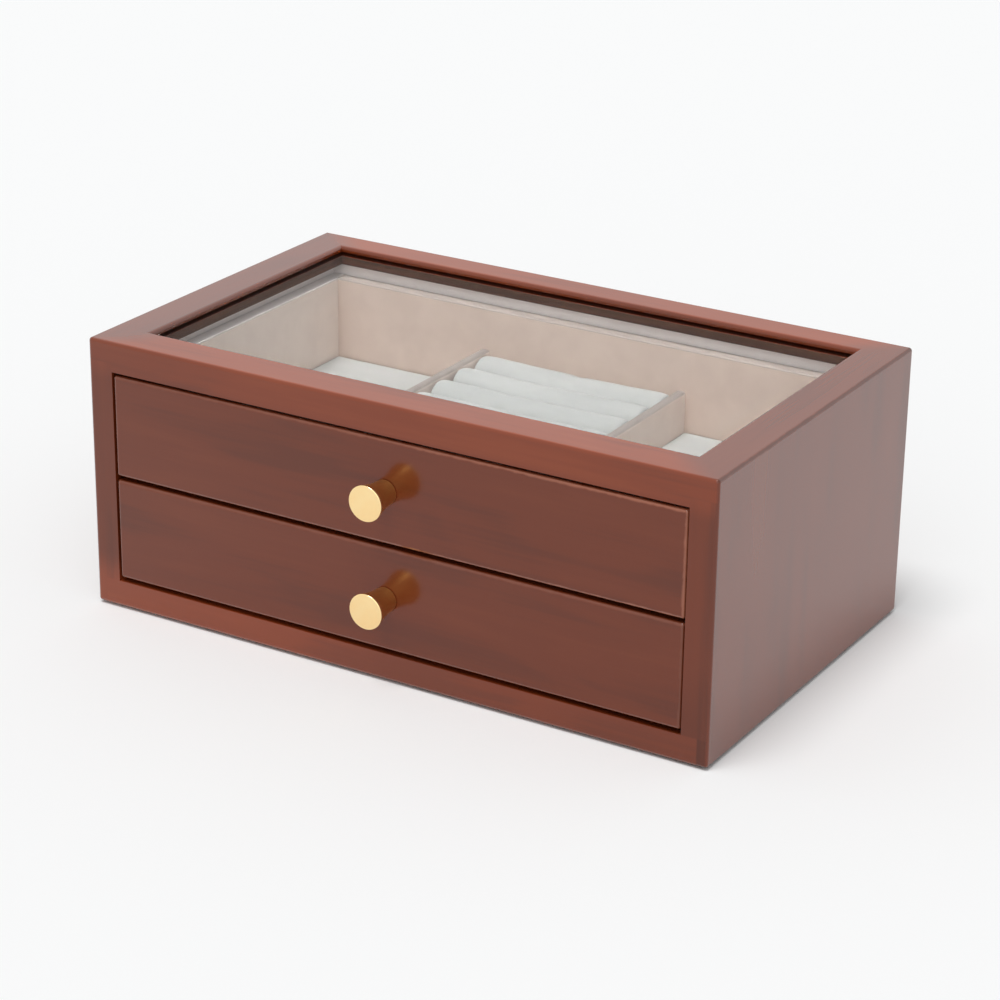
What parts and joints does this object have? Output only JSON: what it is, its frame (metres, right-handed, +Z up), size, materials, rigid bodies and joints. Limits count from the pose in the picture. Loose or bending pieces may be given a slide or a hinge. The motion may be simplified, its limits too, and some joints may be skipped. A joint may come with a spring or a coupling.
{
  "type": "jewelry box",
  "caption": "Stained wood jewelry box with a fixed glass top over a lined drawer with ring rolls and side compartments, a plain lined drawer below, and flared brass knobs.",
  "frame": {"origin": "middle of the base, on the surface that the box stands on", "axes": "+X along the drawer fronts to the right, +Y from the drawer fronts to the back, +Z up"},
  "size_m": [0.3, 0.195, 0.122],
  "materials": {
    "stained_wood": "satin red-brown lacquer",
    "drawer_wood": "matte stained wood",
    "plywood": "plain thin board",
    "tongue_wood": "plain hardwood",
    "glass": "clear polished sheet",
    "brass": "satin pale gold",
    "screw_steel": "zinc plated",
    "suede_lining": "beige suede cloth",
    "velvet": "pale grey velvet"
  },
  "bodies": {
    "cabinet": {"back_panel": "stained_wood", "bay_lining_back": "suede_lining", "bay_lining_left": "suede_lining", "bay_lining_right": "suede_lining", "bottom_panel": "stained_wood", "drawer_shelf": "plywood", "frame_tongues": "tongue_wood", "front_top_rail": "stained_wood", "glass_bead_back": "stained_wood", "glass_bead_front": "stained_wood", "glass_bead_left": "stained_wood", "glass_bead_right": "stained_wood", "glass_panel": "glass", "left_side_panel": "stained_wood", "right_side_panel": "stained_wood", "top_frame_back_rail": "stained_wood", "top_frame_front_rail": "stained_wood", "top_frame_left_rail": "stained_wood", "top_frame_right_rail": "stained_wood"},
    "upper_drawer": {"left_divider": "suede_lining", "left_floor_pad": "velvet", "right_divider": "suede_lining", "right_floor_pad": "velvet", "ring_roll_1": "velvet", "ring_roll_2": "velvet", "ring_roll_3": "velvet", "ring_roll_4": "velvet", "ring_roll_5": "velvet", "ring_roll_6": "velvet", "ring_roll_7": "velvet", "ring_roll_8": "velvet", "ring_roll_base": "velvet", "upper_drawer_back_wall": "drawer_wood", "upper_drawer_floor": "plywood", "upper_drawer_front": "stained_wood", "upper_drawer_left_wall": "drawer_wood", "upper_drawer_right_wall": "drawer_wood", "upper_knob": "brass", "upper_knob_screw": "screw_steel", "upper_lining_back": "suede_lining", "upper_lining_front": "suede_lining", "upper_lining_left": "suede_lining", "upper_lining_right": "suede_lining"},
    "lower_drawer": {"lower_drawer_back_wall": "drawer_wood", "lower_drawer_floor": "plywood", "lower_drawer_front": "stained_wood", "lower_drawer_left_wall": "drawer_wood", "lower_drawer_right_wall": "drawer_wood", "lower_floor_pad": "velvet", "lower_knob": "brass", "lower_knob_screw": "screw_steel", "lower_lining_back": "suede_lining", "lower_lining_front": "suede_lining", "lower_lining_left": "suede_lining", "lower_lining_right": "suede_lining"}
  },
  "joints": [
    {"name": "upper_drawer_slide", "type": "slide", "parent": "cabinet", "child": "upper_drawer", "axis": [0, -1, 0], "range_m": [0, 0.125]},
    {"name": "lower_drawer_slide", "type": "slide", "parent": "cabinet", "child": "lower_drawer", "axis": [0, -1, 0], "range_m": [0, 0.125]}
  ]
}
